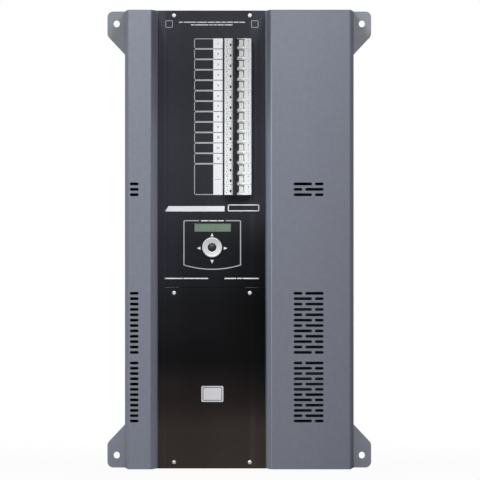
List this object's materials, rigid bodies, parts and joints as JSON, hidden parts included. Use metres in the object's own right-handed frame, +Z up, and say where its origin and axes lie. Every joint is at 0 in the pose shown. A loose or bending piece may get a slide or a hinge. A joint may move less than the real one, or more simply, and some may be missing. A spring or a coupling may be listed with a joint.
{
  "type": "wall-mounted dimmer pack",
  "caption": "Tall wall-mounted lighting dimmer pack with vented side covers, a recessed black control panel, a stack of lever breakers, a display and a navigation pad.",
  "frame": {"origin": "middle of the back plate's rear face, on the wall", "axes": "+X to the right seen from the front, front faces -Y, +Y into the wall, +Z up along the cabinet's height"},
  "size_m": [0.452, 0.14, 0.7814],
  "materials": {
    "housing_paint": "fine-textured satin powder coat, blue-grey",
    "back_plate_paint": "satin powder coat, grey",
    "panel_paint": "satin black powder coat with pale screen print",
    "zinc_steel": "zinc plated",
    "screw_steel": "bright nickel plated",
    "breaker_plastic": "moulded light grey plastic",
    "lever_plastic": "moulded black plastic",
    "display_lens": "clear acrylic over a green liquid crystal display",
    "board_green": "green circuit board",
    "ring_silver": "satin silver",
    "button_plastic": "dark domed plastic",
    "dark_plastic": "moulded dark plastic",
    "sink_aluminium": "extruded aluminium",
    "choke_winding": "varnished copper winding on iron powder rings",
    "terminal_plastic": "moulded grey polyamide",
    "earth_brass": "plain brass",
    "core_steel": "varnished laminations"
  },
  "bodies": {
    "cabinet": {"back_plate": "back_plate_paint", "top_end_plate": "housing_paint", "bottom_end_plate": "housing_paint", "left_cover": "housing_paint", "right_cover": "housing_paint", "upper_panel": "panel_paint", "lower_panel": "panel_paint", "left_partition": "zinc_steel", "right_partition": "zinc_steel", "upper_panel_screw_left": "screw_steel", "upper_panel_screw_right": "screw_steel", "lower_panel_screw_top_left": "screw_steel", "lower_panel_screw_top_right": "screw_steel", "lower_panel_screw_bottom_left": "screw_steel", "lower_panel_screw_bottom_right": "screw_steel", "din_rail": "zinc_steel", "channel_breaker_1": "breaker_plastic", "channel_breaker_2": "breaker_plastic", "channel_breaker_3": "breaker_plastic", "channel_breaker_4": "breaker_plastic", "channel_breaker_5": "breaker_plastic", "channel_breaker_6": "breaker_plastic", "channel_breaker_7": "breaker_plastic", "channel_breaker_8": "breaker_plastic", "channel_breaker_9": "breaker_plastic", "channel_breaker_10": "breaker_plastic", "channel_breaker_11": "breaker_plastic", "channel_breaker_12": "breaker_plastic", "main_breaker": "breaker_plastic", "display_window": "display_lens", "display_module": "board_green", "control_board": "board_green", "heat_sink": "sink_aluminium", "thyristor_module_1": "dark_plastic", "thyristor_module_2": "dark_plastic", "thyristor_module_3": "dark_plastic", "choke_bank_1": "choke_winding", "choke_bank_2": "choke_winding", "choke_bank_3": "choke_winding", "load_terminal_block": "terminal_plastic", "supply_terminal_block": "terminal_plastic", "earth_bar": "earth_brass", "control_transformer": "core_steel", "data_socket": "dark_plastic"},
    "channel_lever_1": {"channel_toggle_1": "lever_plastic"},
    "channel_lever_2": {"channel_toggle_2": "lever_plastic"},
    "channel_lever_3": {"channel_toggle_3": "lever_plastic"},
    "channel_lever_4": {"channel_toggle_4": "lever_plastic"},
    "channel_lever_5": {"channel_toggle_5": "lever_plastic"},
    "channel_lever_6": {"channel_toggle_6": "lever_plastic"},
    "channel_lever_7": {"channel_toggle_7": "lever_plastic"},
    "channel_lever_8": {"channel_toggle_8": "lever_plastic"},
    "channel_lever_9": {"channel_toggle_9": "lever_plastic"},
    "channel_lever_10": {"channel_toggle_10": "lever_plastic"},
    "channel_lever_11": {"channel_toggle_11": "lever_plastic"},
    "channel_lever_12": {"channel_toggle_12": "lever_plastic"},
    "main_lever": {"main_toggle": "lever_plastic"},
    "pad_frame": {"ring_pivot_frame": "dark_plastic"},
    "pad_ring": {"nav_ring": "ring_silver"},
    "pad_button": {"nav_button": "button_plastic"}
  },
  "joints": [
    {"name": "channel_lever_1_swing", "type": "hinge", "parent": "cabinet", "child": "channel_lever_1", "pos_m": [-0.00125, -0.0815, 0.33434], "axis": [0, 0, 1], "range_deg": [0, 55]},
    {"name": "channel_lever_2_swing", "type": "hinge", "parent": "cabinet", "child": "channel_lever_2", "pos_m": [-0.00125, -0.0815, 0.31652], "axis": [0, 0, 1], "range_deg": [0, 55]},
    {"name": "channel_lever_3_swing", "type": "hinge", "parent": "cabinet", "child": "channel_lever_3", "pos_m": [-0.00125, -0.0815, 0.2987], "axis": [0, 0, 1], "range_deg": [0, 55]},
    {"name": "channel_lever_4_swing", "type": "hinge", "parent": "cabinet", "child": "channel_lever_4", "pos_m": [-0.00125, -0.0815, 0.28088], "axis": [0, 0, 1], "range_deg": [0, 55]},
    {"name": "channel_lever_5_swing", "type": "hinge", "parent": "cabinet", "child": "channel_lever_5", "pos_m": [-0.00125, -0.0815, 0.26306], "axis": [0, 0, 1], "range_deg": [0, 55]},
    {"name": "channel_lever_6_swing", "type": "hinge", "parent": "cabinet", "child": "channel_lever_6", "pos_m": [-0.00125, -0.0815, 0.24524], "axis": [0, 0, 1], "range_deg": [0, 55]},
    {"name": "channel_lever_7_swing", "type": "hinge", "parent": "cabinet", "child": "channel_lever_7", "pos_m": [-0.00125, -0.0815, 0.22742], "axis": [0, 0, 1], "range_deg": [0, 55]},
    {"name": "channel_lever_8_swing", "type": "hinge", "parent": "cabinet", "child": "channel_lever_8", "pos_m": [-0.00125, -0.0815, 0.2096], "axis": [0, 0, 1], "range_deg": [0, 55]},
    {"name": "channel_lever_9_swing", "type": "hinge", "parent": "cabinet", "child": "channel_lever_9", "pos_m": [-0.00125, -0.0815, 0.19178], "axis": [0, 0, 1], "range_deg": [0, 55]},
    {"name": "channel_lever_10_swing", "type": "hinge", "parent": "cabinet", "child": "channel_lever_10", "pos_m": [-0.00125, -0.0815, 0.17396], "axis": [0, 0, 1], "range_deg": [0, 55]},
    {"name": "channel_lever_11_swing", "type": "hinge", "parent": "cabinet", "child": "channel_lever_11", "pos_m": [-0.00125, -0.0815, 0.15614], "axis": [0, 0, 1], "range_deg": [0, 55]},
    {"name": "channel_lever_12_swing", "type": "hinge", "parent": "cabinet", "child": "channel_lever_12", "pos_m": [-0.00125, -0.0815, 0.13832], "axis": [0, 0, 1], "range_deg": [0, 55]},
    {"name": "main_lever_swing", "type": "hinge", "parent": "cabinet", "child": "main_lever", "pos_m": [-0.00125, -0.0815, 0.10268], "axis": [0, 0, 1], "range_deg": [0, 55]},
    {"name": "pad_tilt_up_down", "type": "hinge", "parent": "cabinet", "child": "pad_frame", "pos_m": [-0.04645, -0.072, -0.01363], "axis": [1, 0, 0], "range_deg": [-2.5, 2.5], "stiffness_Nm_per_rad": 0.6},
    {"name": "pad_tilt_left_right", "type": "hinge", "parent": "pad_frame", "child": "pad_ring", "pos_m": [-0.04645, -0.072, -0.01363], "axis": [0, 0, 1], "range_deg": [-2.5, 2.5], "stiffness_Nm_per_rad": 0.6},
    {"name": "pad_button_press", "type": "slide", "parent": "cabinet", "child": "pad_button", "axis": [0, 1, 0], "range_m": [0, 0.0008], "stiffness_N_per_m": 900}
  ]
}
